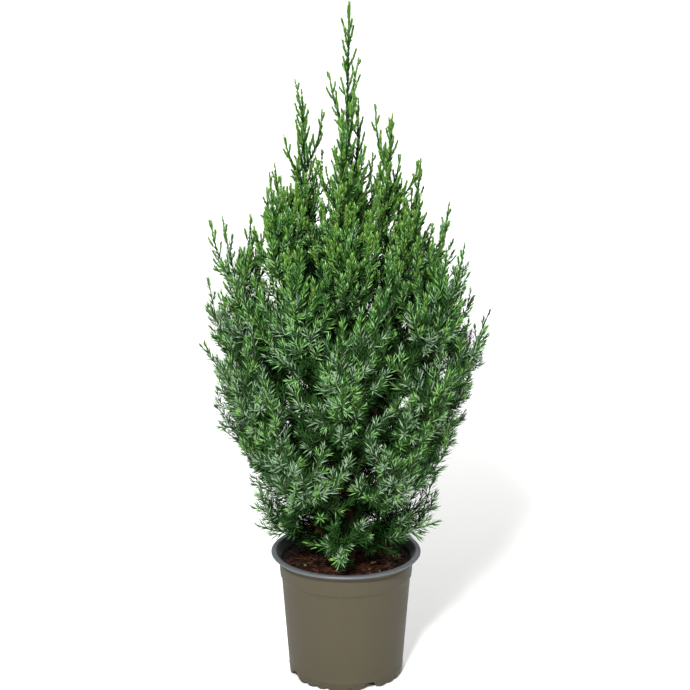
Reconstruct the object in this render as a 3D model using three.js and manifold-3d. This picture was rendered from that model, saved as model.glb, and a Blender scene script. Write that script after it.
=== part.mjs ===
// A young Chinese juniper as a nursery sells it: one short trunk, steep boughs in rising tiers and a
// flame-shaped crown of prickly sprays, rooted in a thin formed pot full of bark-and-peat soil.
// Millimetres, +Z up. The origin is the centre of the pot's underside, and the plant is looked at
// from -Y, so +X is to its right.
import * as THREE from 'three';
import { mergeVertices } from 'three/addons/utils/BufferGeometryUtils.js';
import Module from 'manifold-3d';

const wasm = await Module();
wasm.setup();

// Driving dimensions
const SEAT_GAP = 0.3; // clear space between two pieces that touch
const SEED = 97;

const POT = {
  height: 165,
  rimRadius: 95,
  neckRadius: 85.5, // the wall just under the lip
  neckHeight: 157,
  stepRadius: 82, // the wall just under the moulded collar
  stepHeight: 132,
  stepDepth: 1.6,
  footRadius: 72,
  cornerRadius: 4,
  wall: 1.5,
  lipHeight: 5.5,
  lipRound: 2.4,
  pleat: 3, // how far every second fold of the foot's edge stands off the floor
  facets: 36,
  turn: 3.7, // degrees that its corners are turned off the axes
};
const DRAIN = { count: 4, turn: -65, width: 15, height: 8.5, archHeight: 5, depth: 9, arcs: 4 };
const SOIL = { top: POT.height - 13, bump: 1.6, lobes: 5, rings: [0.72, 0.42, 0.25], flatShare: 0.3 };

const TRUNK = {
  foot: SOIL.top + SEAT_GAP,
  tip: 640,
  footRadius: 8.5,
  tipRadius: 2.2,
  flare: 4.5, // extra radius at the soil
  flareHeight: 16,
  sway: 9, // how far its curve is drawn from a plumb line
  sides: 8,
  steps: 12,
};

// The boughs stand in tiers, from the skirt over the pot to the spires beside the leader. A tier has
// its first bough's azimuth (turn) and root height, and the height and reach of its tips. Its boughs
// leave the trunk and end so many degrees from plumb, and are bare wood for a share of their length.
// Its masses have side sprays of a length, round a dense body of a radius.
const TIERS = [
  {
    name: 'skirt', count: 5, turn: 126, root: 174, step: 5, tip: 210, reach: 116, leave: 70, end: 62,
    bare: 0, sprays: 2, spray: 46, body: 17,
  },
  {
    name: 'low', count: 5, turn: 162, root: 203, step: 7, tip: 308, reach: 144, leave: 62, end: 40,
    bare: 0.14, sprays: 3, spray: 62, body: 26,
  },
  {
    name: 'middle', count: 7, turn: 13, root: 242, step: 6, tip: 446, reach: 170, leave: 58, end: 22,
    bare: 0.15, sprays: 3, spray: 70, body: 30,
  },
  {
    name: 'upper', count: 5, turn: 180, root: 292, step: 9, tip: 572, reach: 158, leave: 50, end: 9,
    bare: 0.16, sprays: 4, spray: 72, body: 30,
  },
  {
    name: 'high', count: 6, turn: 30, root: 350, step: 11, tip: 645, reach: 97, leave: 36, end: 5,
    bare: 0.16, sprays: 3, spray: 58, body: 21,
  },
  {
    name: 'top', count: 4, turn: 168, root: 450, step: 14, tip: 742, reach: 57, leave: 28, end: 3,
    bare: 0, sprays: 3, spray: 46, body: 13,
  },
];
const LEADER = { tip: 848, lean: 4, sprays: 3, spray: 32, body: 8 };
const TIP_JITTER = 22; // how far a tip may stand above or below its tier
const REACH_JITTER = 0.07; // as a share of the reach
const TURN_JITTER = 10; // degrees

const BOUGH = {
  handleShare: 0.38, // how long it keeps the slopes of its two ends
  radiusShare: 0.0105, // of the curve's length
  leastRadius: 1.9,
  tipRadius: 1.5,
  sides: 5,
  steps: 3,
};

// A mass of foliage: a stem that carries its bough on to the tip, a dense body round the stem, and
// side sprays that stand out of the body. Stem and sprays bear needles in whorls of three, each
// whorl turned half a step from the last.
const BODY = {
  sides: 6,
  steps: 8,
  end: 0.84, // the share of the stem that it reaches to
  widest: 0.36,
  peak: 1.35, // how far every second corner stands out, and how far it leans forwards
  lean: 0.9,
  valley: 0.5, // how far the corners between lie in
  lump: 0.2, // how uneven it is
  footRadius: 2.1,
  shrink: 0.8, // each time that a corner is drawn in
  tries: 8,
};
const STEM = { start: 0.66, radius: 2.1, plume: 4, tipRadius: 0.7, whorls: 4, open: 26, samples: 14 };
const SPRAY = {
  radius: 1.6,
  plume: 4, // where its needles stand thickest
  tipRadius: 0.6,
  whorls: 4,
  open: 40, // degrees between it and its needles
  first: 0.25, // the share of the stem below the first spray
  last: 0.85,
  shorten: 0.4, // the share of its length that a spray has lost at the stem's tip
  leave: 50, // degrees between the stem and its root
  turn: 137.5, // degrees round the stem from one spray to the next
  atJitter: 0.6, // of the step from one spray to the next
  turnJitter: 40,
  lift: 0.6, // how far a spray's end turns up to plumb
  lengthJitter: 0.15,
};
const SPRAY_TRIES = [1, 0.75, 0.5]; // shares of its length that a spray is tried at
const NEEDLE = { perWhorl: 3, length: 19, tipShorter: 0.4 };
const TESTED_SHARES = [0.35, 0.7, 1]; // where along a needle or a spray its room is tested
const SPACE_GAP = 1; // clear space between neighbouring masses
const LIMB_CLEAR = 1.2;

const BARK = new THREE.MeshStandardMaterial({ color: 0x5a4030, roughness: 0.9, metalness: 0 });
const POT_PLASTIC = new THREE.MeshStandardMaterial({ color: 0x6b6450, roughness: 0.55, metalness: 0 });
const SOIL_BROWN = new THREE.MeshStandardMaterial({ color: 0x35201a, roughness: 1, metalness: 0 });
const LOW_GREEN = new THREE.Color(0x39663f);
const TOP_GREEN = new THREE.Color(0x4f8a34);

const radians = THREE.MathUtils.degToRad;
const lerp = THREE.MathUtils.lerp;
const UP = new THREE.Vector3(0, 0, 1);

// A stream of repeatable random numbers from 0 to 1.
function randomStream(seed) {
  let state = seed | 0;
  return () => {
    state = (state + 0x6d2b79f5) | 0;
    let mixed = Math.imul(state ^ (state >>> 15), 1 | state);
    mixed = (mixed + Math.imul(mixed ^ (mixed >>> 7), 61 | mixed)) ^ mixed;
    return ((mixed ^ (mixed >>> 14)) >>> 0) / 4294967296;
  };
}

// The part of a curve between two of its parameters.
class CurvePart extends THREE.Curve {
  constructor(whole, from, to) {
    super();
    this.whole = whole;
    this.from = from;
    this.to = to;
  }

  getPoint(share) {
    return this.whole.getPoint(lerp(this.from, this.to, share));
  }

  getTangent(share) {
    return this.whole.getTangent(lerp(this.from, this.to, share));
  }
}

// Solids and meshes
function solidOf(geometry) {
  const bare = geometry.clone();
  bare.deleteAttribute('normal');
  bare.deleteAttribute('uv');
  const merged = mergeVertices(bare, 1e-4);
  return new wasm.Manifold(new wasm.Mesh({
    numProp: 3,
    vertProperties: merged.attributes.position.array,
    triVerts: new Uint32Array(merged.index.array),
  }));
}

// The largest body of a solid, without loose scraps or sealed hollows.
function mainBody(solid) {
  return solid.decompose().reduce((best, body) => (body.volume() > best.volume() ? body : best));
}

function geometryOf(solid) {
  const { vertProperties, triVerts } = solid.getMesh();
  const geometry = new THREE.BufferGeometry();
  geometry.setAttribute('position', new THREE.BufferAttribute(vertProperties, 3));
  geometry.setIndex(new THREE.BufferAttribute(triVerts, 1));
  geometry.computeVertexNormals();
  return geometry;
}

function geometryFrom(points, faces) {
  const geometry = new THREE.BufferGeometry().setFromPoints(points);
  geometry.setIndex(faces.flat());
  return geometry;
}

function namedMesh(name, geometry, material) {
  const mesh = new THREE.Mesh(geometry, material);
  mesh.name = name;
  return mesh;
}

// Pot and soil
function arcPoints(centreX, centreY, radius, fromDegrees, toDegrees, steps) {
  return Array.from({ length: steps + 1 }, (_, i) => {
    const angle = radians(lerp(fromDegrees, toDegrees, i / steps));
    return new THREE.Vector2(centreX + radius * Math.cos(angle), centreY + radius * Math.sin(angle));
  });
}

// Turns a profile of (radius, height) round the Z axis.
function turned(profile) {
  return new THREE.LatheGeometry(profile, POT.facets).rotateX(Math.PI / 2).rotateZ(radians(POT.turn));
}

// The radius of the pot's straight inner wall at a height.
function innerRadius(height) {
  return lerp(POT.footRadius, POT.stepRadius, height / POT.stepHeight) - POT.wall;
}

// A drain: a tunnel with a round top through the pot's foot, pointing out at an azimuth.
function footCutter(azimuth) {
  const { width, height, archHeight, depth, arcs } = DRAIN;
  const arch = new THREE.Shape();
  arch.moveTo(-width / 2, -height);
  arch.lineTo(width / 2, -height);
  arch.absellipse(0, height - archHeight, width / 2, archHeight, 0, Math.PI);
  const options = { depth: 2 * depth, bevelEnabled: false, curveSegments: arcs };
  const tunnel = new THREE.ExtrudeGeometry(arch, options);
  tunnel.rotateX(Math.PI / 2).translate(0, POT.footRadius + depth, 0).rotateZ(radians(azimuth - 90));
  return solidOf(tunnel);
}

function pot() {
  const { height, rimRadius, neckRadius, neckHeight, stepRadius, stepHeight, stepDepth } = POT;
  const { footRadius, cornerRadius, lipHeight, lipRound, wall } = POT;
  const footEdge = new THREE.Vector2(footRadius - cornerRadius / 3, cornerRadius / 3);
  const profile = [
    new THREE.Vector2(0, 0),
    new THREE.Vector2(footRadius - cornerRadius, 0),
    footEdge,
    new THREE.Vector2(footRadius, cornerRadius),
    new THREE.Vector2(stepRadius, stepHeight),
    new THREE.Vector2(stepRadius + stepDepth, stepHeight + stepDepth),
    new THREE.Vector2(neckRadius, neckHeight),
    new THREE.Vector2(rimRadius - lipRound, height - lipHeight),
    ...arcPoints(rimRadius - lipRound, height - lipRound, lipRound, 0, 90, 2),
    new THREE.Vector2(neckRadius + lipRound, height),
    new THREE.Vector2(innerRadius(neckHeight), neckHeight),
    new THREE.Vector2(innerRadius(wall), wall),
    new THREE.Vector2(0, wall),
  ];
  const shell = turned(profile);
  const edge = profile.indexOf(footEdge);
  for (let i = 1; i < POT.facets; i += 2) {
    shell.attributes.position.setZ(i * profile.length + edge, POT.pleat);
  }
  let solid = solidOf(shell);
  for (let i = 0; i < DRAIN.count; i++) {
    solid = solid.subtract(footCutter(DRAIN.turn + (i * 360) / DRAIN.count));
  }
  return namedMesh('pot', geometryOf(mainBody(solid)), POT_PLASTIC);
}

// The soil fills the pot. Its top is lumpy, but level under the trunk and at the wall.
function soil() {
  const foot = POT.wall + SEAT_GAP;
  const rim = innerRadius(SOIL.top) - SEAT_GAP;
  const geometry = turned([
    new THREE.Vector2(0, foot),
    new THREE.Vector2(innerRadius(foot) - SEAT_GAP, foot),
    new THREE.Vector2(rim, SOIL.top),
    ...SOIL.rings.map((share) => new THREE.Vector2(share * rim, SOIL.top)),
    new THREE.Vector2(0, SOIL.top),
  ]);
  const at = geometry.attributes.position;
  for (let i = 0; i < at.count; i++) {
    const radius = Math.hypot(at.getX(i), at.getY(i));
    const lumpy = at.getZ(i) > foot && radius > SOIL.flatShare * rim && radius < rim - SEAT_GAP;
    if (!lumpy) continue;
    const azimuth = Math.atan2(at.getY(i), at.getX(i));
    at.setZ(i, SOIL.top - SOIL.bump * (1 + Math.sin(SOIL.lobes * azimuth + radius)));
  }
  return namedMesh('soil', geometry, SOIL_BROWN);
}

// Limbs

// A direction square to the tangent, as near to the reference as can be.
function squareTo(tangent, reference) {
  return reference.clone().addScaledVector(tangent, -reference.dot(tangent)).normalize();
}

// The directions out from a curve at a parameter, spread evenly round its tangent.
function outwardsRound(curve, share, reference, count, turn = 0) {
  const tangent = curve.getTangent(share);
  const across = squareTo(tangent, reference);
  const along = tangent.clone().cross(across);
  return Array.from({ length: count }, (_, k) => {
    const angle = (2 * Math.PI * (k + turn)) / count;
    return across.clone().multiplyScalar(Math.cos(angle)).addScaledVector(along, Math.sin(angle));
  });
}

// A closed tube along a curve. Each corner's place is worked out from the curve's point, the direction
// out from it, the share of the curve, and whether the corner is one of every two.
function tubeGeometry(curve, reference, sides, steps, cornerAt) {
  const points = [];
  const faces = [];
  for (let i = 0; i <= steps; i++) {
    const centre = curve.getPoint(i / steps);
    const corners = outwardsRound(curve, i / steps, reference, sides);
    points.push(...corners.map((out, k) => cornerAt(centre.clone(), out, i / steps, (i + k) % 2 === 0)));
  }
  const last = steps * sides;
  for (let k = 0; k < sides; k++) {
    const next = (k + 1) % sides;
    for (let base = 0; base < last; base += sides) {
      const above = base + sides;
      faces.push([base + k, base + next, above + next], [base + k, above + next, above + k]);
    }
    if (k > 0 && next > 0) faces.push([0, next, k], [last, last + k, last + next]);
  }
  return geometryFrom(points, faces);
}

// The trunk bends a little one way and then the other. Its height grows evenly along the curve.
const trunkCurve = new THREE.CubicBezierCurve3(
  new THREE.Vector3(0, 0, TRUNK.foot),
  new THREE.Vector3(TRUNK.sway, -TRUNK.sway / 2, lerp(TRUNK.foot, TRUNK.tip, 1 / 3)),
  new THREE.Vector3(-TRUNK.sway, TRUNK.sway / 2, lerp(TRUNK.foot, TRUNK.tip, 2 / 3)),
  new THREE.Vector3(0, 0, TRUNK.tip),
);

function trunkRadius(share) {
  const rise = share * (TRUNK.tip - TRUNK.foot);
  return lerp(TRUNK.footRadius, TRUNK.tipRadius, share) + TRUNK.flare * Math.exp(-rise / TRUNK.flareHeight);
}

// The trunk's tube, grown by a margin, with its lowest ring cut level.
function trunkGeometry(grown) {
  const reference = new THREE.Vector3(1, 0, 0);
  const cornerAt = (centre, out, share) => centre.addScaledVector(out, trunkRadius(share) + grown);
  const geometry = tubeGeometry(trunkCurve, reference, TRUNK.sides, TRUNK.steps, cornerAt);
  for (let k = 0; k < TRUNK.sides; k++) geometry.attributes.position.setZ(k, TRUNK.foot);
  return geometry;
}

// The point of the trunk's centreline at a height.
function trunkAt(height) {
  return trunkCurve.getPoint((height - TRUNK.foot) / (TRUNK.tip - TRUNK.foot));
}

// A bough's curve leaves the trunk at one slope and turns up to end at another.
function boughCurve(root, tip, outwards, leave, end) {
  const slope = (degrees) => outwards.clone().multiplyScalar(Math.sin(radians(degrees)))
    .addScaledVector(UP, Math.cos(radians(degrees)));
  const handle = BOUGH.handleShare * root.distanceTo(tip);
  return new THREE.CubicBezierCurve3(
    root,
    root.clone().addScaledVector(slope(leave), handle),
    tip.clone().addScaledVector(slope(end), -handle),
    tip,
  );
}

// Every bough of every tier, with the stem that carries it on through its mass.
function planBoughs() {
  const random = randomStream(SEED);
  const spread = () => 2 * random() - 1;
  return TIERS.flatMap((tier, level) => Array.from({ length: tier.count }, (_, i) => {
    const azimuth = radians(tier.turn + (360 * i) / tier.count + TURN_JITTER * spread());
    const outwards = new THREE.Vector3(Math.cos(azimuth), Math.sin(azimuth), 0);
    const root = trunkAt(tier.root + tier.step * ((2 * i) % tier.count));
    const reach = tier.reach * (1 + REACH_JITTER * spread());
    const tip = outwards.clone().multiplyScalar(reach).setZ(tier.tip + TIP_JITTER * spread());
    const curve = boughCurve(root, tip, outwards, tier.leave, tier.end);
    const length = curve.getLength();
    return {
      name: `${tier.name}_${i + 1}`,
      limb: tier.bare > 0 ? new CurvePart(curve, 0, tier.bare) : null,
      stem: tier.bare > 0 ? new CurvePart(curve, tier.bare + SEAT_GAP / length, 1) : curve,
      reference: outwards.cross(UP),
      radius: Math.max(BOUGH.leastRadius, BOUGH.radiusShare * length),
      sprays: tier.sprays,
      spray: tier.spray,
      body: tier.body,
      level: level / TIERS.length,
    };
  }));
}

// A bough, cut to sit on the trunk's side.
function boughMesh(bough, trunkSeat) {
  const radiusAt = (share) => lerp(bough.radius, BOUGH.tipRadius, share);
  const cornerAt = (centre, out, share) => centre.addScaledVector(out, radiusAt(share));
  const tube = solidOf(tubeGeometry(bough.limb, bough.reference, BOUGH.sides, BOUGH.steps, cornerAt));
  return namedMesh(`bough_${bough.name}`, geometryOf(mainBody(tube.subtract(trunkSeat))), BARK);
}

// Foliage

// The leader carries the trunk on to the crown's top.
function planLeader() {
  const foot = trunkCurve.getPoint(1).addScaledVector(UP, SEAT_GAP);
  return {
    name: 'leader',
    stem: new THREE.LineCurve3(foot, new THREE.Vector3(LEADER.lean, 0, LEADER.tip)),
    reference: new THREE.Vector3(0, 1, 0),
    sprays: LEADER.sprays,
    spray: LEADER.spray,
    body: LEADER.body,
    level: 1,
  };
}

// How far a point is from a line through points.
function distanceToLine(point, line) {
  const nearest = new THREE.Vector3();
  const piece = new THREE.Line3();
  let least = Infinity;
  for (let i = 1; i < line.length; i++) {
    piece.set(line[i - 1], line[i]).closestPointToPoint(point, true, nearest);
    least = Math.min(least, nearest.distanceTo(point));
  }
  return least;
}

function clearOfPot(point) {
  const inside = Math.hypot(point.x, point.y) < innerRadius(SOIL.top) - LIMB_CLEAR;
  return point.z > (inside ? SOIL.top : POT.height) + LIMB_CLEAR;
}

// The test that keeps a mass to its own space: nearer to its own stem than to any other, and clear
// of the pot and of every limb.
function spaceTest(mass, masses, limbs) {
  const own = mass.stem.getPoints(STEM.samples);
  const others = masses.filter((other) => other !== mass)
    .map((other) => other.stem.getPoints(STEM.samples));
  return (point) => {
    const mine = distanceToLine(point, own) + SPACE_GAP;
    return clearOfPot(point)
      && others.every((line) => distanceToLine(point, line) > mine)
      && limbs.every((limb) => distanceToLine(point, limb.line) > limb.radius + LIMB_CLEAR);
  };
}

// The radius of a mass's body at a share of its stem.
function bodyRadius(mass, share) {
  const { widest, end } = BODY;
  const past = share < widest ? (widest - share) / widest : (share - widest) / (end - widest);
  return mass.body * Math.cos((Math.PI / 2) * Math.min(past, 1));
}

// The dense body of a mass: a spindle round its stem with bunches of needles standing out and forwards
// all over it, drawn in wherever there is no room.
function bodyGeometry(mass, hasRoom, spread) {
  const curve = new CurvePart(mass.stem, 0, BODY.end);
  const cornerAt = (centre, out, share, peak) => {
    const reach = out.clone().multiplyScalar(peak ? BODY.peak : BODY.valley);
    if (peak) reach.addScaledVector(curve.getTangent(share), BODY.lean);
    let size = bodyRadius(mass, share * BODY.end) * (1 + BODY.lump * spread());
    for (let i = 0; i < BODY.tries && !hasRoom(centre.clone().addScaledVector(reach, size)); i++) {
      size *= BODY.shrink;
    }
    return centre.addScaledVector(reach, Math.max(size, BODY.footRadius));
  };
  return tubeGeometry(curve, mass.reference, BODY.sides, BODY.steps, cornerAt);
}

// A twig as one closed solid: a three-sided stalk whose rings are each turned half a step, with a
// needle raised on every upright facet that has room for it, and a bud at its end.
function twigGeometry(curve, reference, { whorls, radius, plume, tipRadius, open }, hasRoom) {
  const radiusAt = (share) => lerp(radius, tipRadius, share) + (plume - radius) * Math.sin(Math.PI * share);
  const rings = Array.from({ length: whorls + 1 }, (_, i) => outwardsRound(
    curve, i / whorls, reference, NEEDLE.perWhorl, i / 2,
  ));
  const points = rings.flatMap((ring, i) => ring.map(
    (out) => curve.getPoint(i / whorls).addScaledVector(out, radiusAt(i / whorls)),
  ));
  const bud = points.length;
  points.push(curve.getPoint(1).addScaledVector(curve.getTangent(1), NEEDLE.length / 2));
  const faces = [[2, 1, 0], [bud - 3, bud - 2, bud], [bud - 2, bud - 1, bud], [bud - 1, bud - 3, bud]];
  for (let i = 0; i < whorls; i++) {
    const length = NEEDLE.length * (1 - (NEEDLE.tipShorter * i) / whorls);
    const forwards = length * Math.cos(radians(open));
    const outwards = length * Math.sin(radians(open));
    for (let k = 0; k < NEEDLE.perWhorl; k++) {
      const left = i * NEEDLE.perWhorl + k;
      const right = i * NEEDLE.perWhorl + ((k + 1) % NEEDLE.perWhorl);
      const [top, topNext] = [left + NEEDLE.perWhorl, right + NEEDLE.perWhorl];
      const root = points[left].clone().add(points[right]).add(points[top]).divideScalar(3);
      const tip = root.clone().addScaledVector(curve.getTangent(i / whorls), forwards)
        .addScaledVector(rings[i + 1][k], outwards);
      faces.push([right, topNext, top]);
      if (TESTED_SHARES.every((share) => hasRoom(root.clone().lerp(tip, share)))) {
        const peak = points.push(tip) - 1;
        faces.push([left, right, peak], [right, top, peak], [top, left, peak]);
      } else {
        faces.push([left, right, top]);
      }
    }
  }
  return geometryFrom(points, faces);
}

// A side spray's curve: it opens from the stem and turns up at its end.
function sprayCurve(mass, at, turn, length) {
  const root = mass.stem.getPoint(at);
  const tangent = mass.stem.getTangent(at);
  const [side] = outwardsRound(mass.stem, at, mass.reference, 1, turn / 360);
  const leave = tangent.multiplyScalar(Math.cos(radians(SPRAY.leave)))
    .addScaledVector(side, Math.sin(radians(SPRAY.leave)));
  const finish = leave.clone().lerp(UP, SPRAY.lift).normalize();
  const bend = root.clone().addScaledVector(leave, length / 2);
  return new THREE.QuadraticBezierCurve3(root, bend, bend.clone().addScaledVector(finish, length / 2));
}

// One mass: its body, the twig at its stem's tip and its side sprays, fused. A spray that would leave
// the mass's space is tried shorter, and then skipped. It has needles where it is out of the body.
function foliageMesh(mass, masses, limbs, trunkSeat, seed) {
  const hasRoom = spaceTest(mass, masses, limbs);
  const random = randomStream(seed);
  const spread = () => 2 * random() - 1;
  const stemLine = mass.stem.getPoints(STEM.samples);
  const tipTwig = twigGeometry(new CurvePart(mass.stem, STEM.start, 1), mass.reference, STEM, hasRoom);
  let solid = solidOf(bodyGeometry(mass, hasRoom, spread)).add(solidOf(tipTwig));
  for (let i = 0; i < mass.sprays; i++) {
    const at = lerp(SPRAY.first, SPRAY.last, (i + SPRAY.atJitter * random()) / mass.sprays);
    const turn = SPRAY.turn * i + SPRAY.turnJitter * spread();
    const length = mass.spray * (1 - SPRAY.shorten * at) * (1 + SPRAY.lengthJitter * spread());
    const curve = SPRAY_TRIES.map((share) => sprayCurve(mass, at, turn, share * length))
      .find((tried) => TESTED_SHARES.every((share) => hasRoom(tried.getPoint(share))));
    if (!curve) continue;
    const buried = bodyRadius(mass, at);
    const standsOut = (point) => distanceToLine(point, stemLine) > buried && hasRoom(point);
    solid = solid.add(solidOf(twigGeometry(curve, curve.getTangent(0).cross(UP), SPRAY, standsOut)));
  }
  const color = LOW_GREEN.clone().lerp(TOP_GREEN, mass.level);
  const needles = new THREE.MeshStandardMaterial({ color, roughness: 0.6, metalness: 0 });
  return namedMesh(`foliage_${mass.name}`, geometryOf(mainBody(solid.subtract(trunkSeat))), needles);
}

// The whole plant in its pot
const shoots = planBoughs();
const boughs = shoots.filter((shoot) => shoot.limb);
const masses = [...shoots, planLeader()];
const limbs = [
  { line: trunkCurve.getPoints(2 * TRUNK.steps), radius: TRUNK.footRadius },
  ...boughs.map((bough) => ({ line: bough.limb.getPoints(2 * BOUGH.steps), radius: bough.radius })),
];
const trunkSeat = solidOf(trunkGeometry(SEAT_GAP));

const juniper = new THREE.Group();
juniper.add(pot(), soil(), namedMesh('trunk', trunkGeometry(0), BARK));
juniper.add(...boughs.map((bough) => boughMesh(bough, trunkSeat)));
juniper.add(...masses.map((mass, i) => foliageMesh(mass, masses, limbs, trunkSeat, SEED + 100 * (i + 1))));

export default juniper;
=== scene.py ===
import math

import bpy
import numpy as np
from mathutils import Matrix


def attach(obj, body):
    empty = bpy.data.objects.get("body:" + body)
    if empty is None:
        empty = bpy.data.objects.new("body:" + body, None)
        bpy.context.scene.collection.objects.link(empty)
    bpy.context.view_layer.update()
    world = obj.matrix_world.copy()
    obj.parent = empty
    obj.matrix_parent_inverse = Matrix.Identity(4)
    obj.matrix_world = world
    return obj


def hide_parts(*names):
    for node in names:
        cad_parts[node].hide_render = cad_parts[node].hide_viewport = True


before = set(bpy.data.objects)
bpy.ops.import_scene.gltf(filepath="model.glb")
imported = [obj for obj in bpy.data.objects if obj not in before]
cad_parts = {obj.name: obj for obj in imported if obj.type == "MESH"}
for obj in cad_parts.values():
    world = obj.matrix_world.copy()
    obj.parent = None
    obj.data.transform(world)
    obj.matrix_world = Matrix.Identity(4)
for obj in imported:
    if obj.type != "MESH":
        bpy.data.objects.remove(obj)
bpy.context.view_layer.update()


# Pot wall. The outer layer of a thin nursery pot, formed from a two-layer sheet: satin taupe plastic.
# A collar stands out above a small step, two faint lines run round the wall, and the skirt under the
# raised floor ends in a scalloped edge with four drain arches.
MM = 0.001
POT_SIDES = 360
POT_FOOT, POT_STEP, POT_STEP_HEIGHT = 72.0, 82.0, 132.0
POT_NECK, POT_NECK_HEIGHT = 85.5, 157.6
STEP_DEPTH = 1.6
SHEET = 1.5          # both layers together
OUTER_SHEET = 0.8
FLOOR_UNDER = 9.5    # the floor's underside above the ground
ARCHES, ARCH_TURN, ARCH_WIDE, ARCH_SLOPE, ARCH_HIGH = 4, -65.0, 10.5, 5.5, 8.5
SCALLOPS, SCALLOP_HIGH, SCALLOP_POWER = 6, 4.0, 1.8   # between two arches
SKIRT_LINE, COLLAR_LINE, LINE_RELIEF = 11.0, 153.6, 0.35
LINE_EDGES = ((-1.0, 0), (-0.4, 1), (0.4, 1), (1.0, 0))     # up from a line's middle, and share of its relief
WALL_RINGS, COLLAR_RINGS = 18, 5
WALL_CRISP = 35      # degrees from which an edge shows
TAUPE = (0.0606, 0.0517, 0.0318)
TAUPE_WORN = (0.0728, 0.0631, 0.0409)


class Value:
    """A number on its way through a finish. An expression on values adds its Math nodes."""

    def __init__(self, finish, socket):
        self.finish, self.socket = finish, socket

    def math(self, operation, *numbers):
        return self.finish.node("ShaderNodeMath", {"operation": operation}, dict(enumerate(numbers)))

    def __add__(self, other):
        return self.math("ADD", self, other)

    def __mul__(self, other):
        return self.math("MULTIPLY", self, other)

    def __pow__(self, other):
        return self.math("POWER", self, other)

    def __rpow__(self, other):
        return self.math("POWER", other, self)

    __radd__, __rmul__ = __add__, __mul__


class Finish:
    """The material of a piece. What is even all over is set on the shader's own sockets."""

    def __init__(self, name, **even):
        self.material = bpy.data.materials.new(name)
        self.material.use_nodes = True
        self.tree = self.material.node_tree
        self.shader = self.tree.nodes["Principled BSDF"]
        self.wear(**even)

    def node(self, kind, settings=(), sockets=(), output=0):
        made = self.tree.nodes.new(kind)
        for key, setting in dict(settings).items():
            setattr(made, key, setting)
        self.feed(made, dict(sockets))
        return Value(self, made.outputs[output])

    def feed(self, node, sockets):
        for key, value in sockets.items():
            if isinstance(value, Value):
                self.tree.links.new(value.socket, node.inputs[key])
            elif node.inputs[key].type == "RGBA":
                node.inputs[key].default_value = (*value, 1.0)
            else:
                node.inputs[key].default_value = value

    def wear(self, **surface):
        self.feed(self.shader, {key.replace("_", " "): value for key, value in surface.items()})

    def place(self, stretch):
        """Where a point of the piece is, in metres, stretched along each axis."""
        here = self.node("ShaderNodeTexCoord", output="Object")
        return self.node("ShaderNodeVectorMath", {"operation": "MULTIPLY"}, {0: here, 1: stretch})

    def noise(self, size, detail=3.0, stretch=(1.0, 1.0, 1.0)):
        """A cloudy number from 0 to 1 whose patches are about so many millimetres across."""
        sockets = {"Vector": self.place(stretch), "Scale": 1.0 / (size * MM), "Detail": detail}
        return self.node("ShaderNodeTexNoise", {}, sockets)

    def blend(self, share, one, other):
        """A colour between two others."""
        return self.node("ShaderNodeMix", {"data_type": "RGBA"}, {0: share, 6: one, 7: other}, 2)

    def relief(self, height, depth):
        """The normal of a surface whose height goes from 0 to 1 over so many millimetres."""
        return self.node("ShaderNodeBump", {}, {"Height": height, "Distance": depth * MM})


def tube_faces(rings, sides):
    """The triangles of a closed form of rings: the walls between them and a fan over each end."""
    k = np.arange(sides)
    near = np.arange(rings - 1)[:, None] * sides + k
    side = np.arange(rings - 1)[:, None] * sides + (k + 1) % sides
    walls = np.stack([near, side, side + sides, near, side + sides, near + sides], -1).reshape(-1, 3)
    fan = np.stack([np.zeros(sides - 2, int), k[2:], k[1:-1]], -1)
    return np.concatenate([walls, fan, fan[:, ::-1] + (rings - 1) * sides])


def make_piece(name, points, faces, finishes, worn=None, smooth=True):
    """A piece from points in millimetres and triangles. worn gives each triangle's finish."""
    mesh = bpy.data.meshes.new(name)
    mesh.vertices.add(len(points))
    mesh.vertices.foreach_set("co", (np.asarray(points) * MM).astype(np.float32).ravel())
    mesh.loops.add(faces.size)
    mesh.loops.foreach_set("vertex_index", faces.astype(np.int32).ravel())
    mesh.polygons.add(len(faces))
    mesh.polygons.foreach_set("loop_start", np.arange(0, faces.size, 3, dtype=np.int32))
    if worn is not None:
        mesh.polygons.foreach_set("material_index", worn.astype(np.int32))
    mesh.polygons.foreach_set("use_smooth", np.full(len(faces), smooth))
    for finish in finishes:
        mesh.materials.append(finish.material)
    mesh.update(calc_edges=True)
    piece = bpy.data.objects.new(name, mesh)
    bpy.context.scene.collection.objects.link(piece)
    return piece


def crisp(piece, degrees):
    """Shades a piece smooth, but for edges sharper than so many degrees."""
    piece.data.set_sharp_from_angle(angle=math.radians(degrees))
    return piece


def outer_radius(height):
    """The straight wall's outside under the collar."""
    return POT_FOOT + (POT_STEP - POT_FOOT) * height / POT_STEP_HEIGHT


def collar_radius(height):
    rise = (height - POT_STEP_HEIGHT) / (POT_NECK_HEIGHT - POT_STEP_HEIGHT)
    return POT_STEP + STEP_DEPTH + (POT_NECK - POT_STEP - STEP_DEPTH) * rise


def faint_line(radius, height, relief):
    """The profile of a line that runs round the wall: raised, or sunk where its relief is below zero."""
    return [(radius(height + up) + relief * full, height + up) for up, full in LINE_EDGES]


def swung(radius, height, turns):
    """Points at a radius and a height, turned round the upright axis."""
    return np.stack([radius * np.cos(turns), radius * np.sin(turns), height + 0 * turns], -1)


azimuths = np.arange(POT_SIDES) * 2 * np.pi / POT_SIDES


def turned(profile):
    """Rings of points round the pot's axis. A profile's radius or height may change round it."""
    return np.concatenate([swung(radius, height, azimuths) for radius, height in profile])


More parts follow.
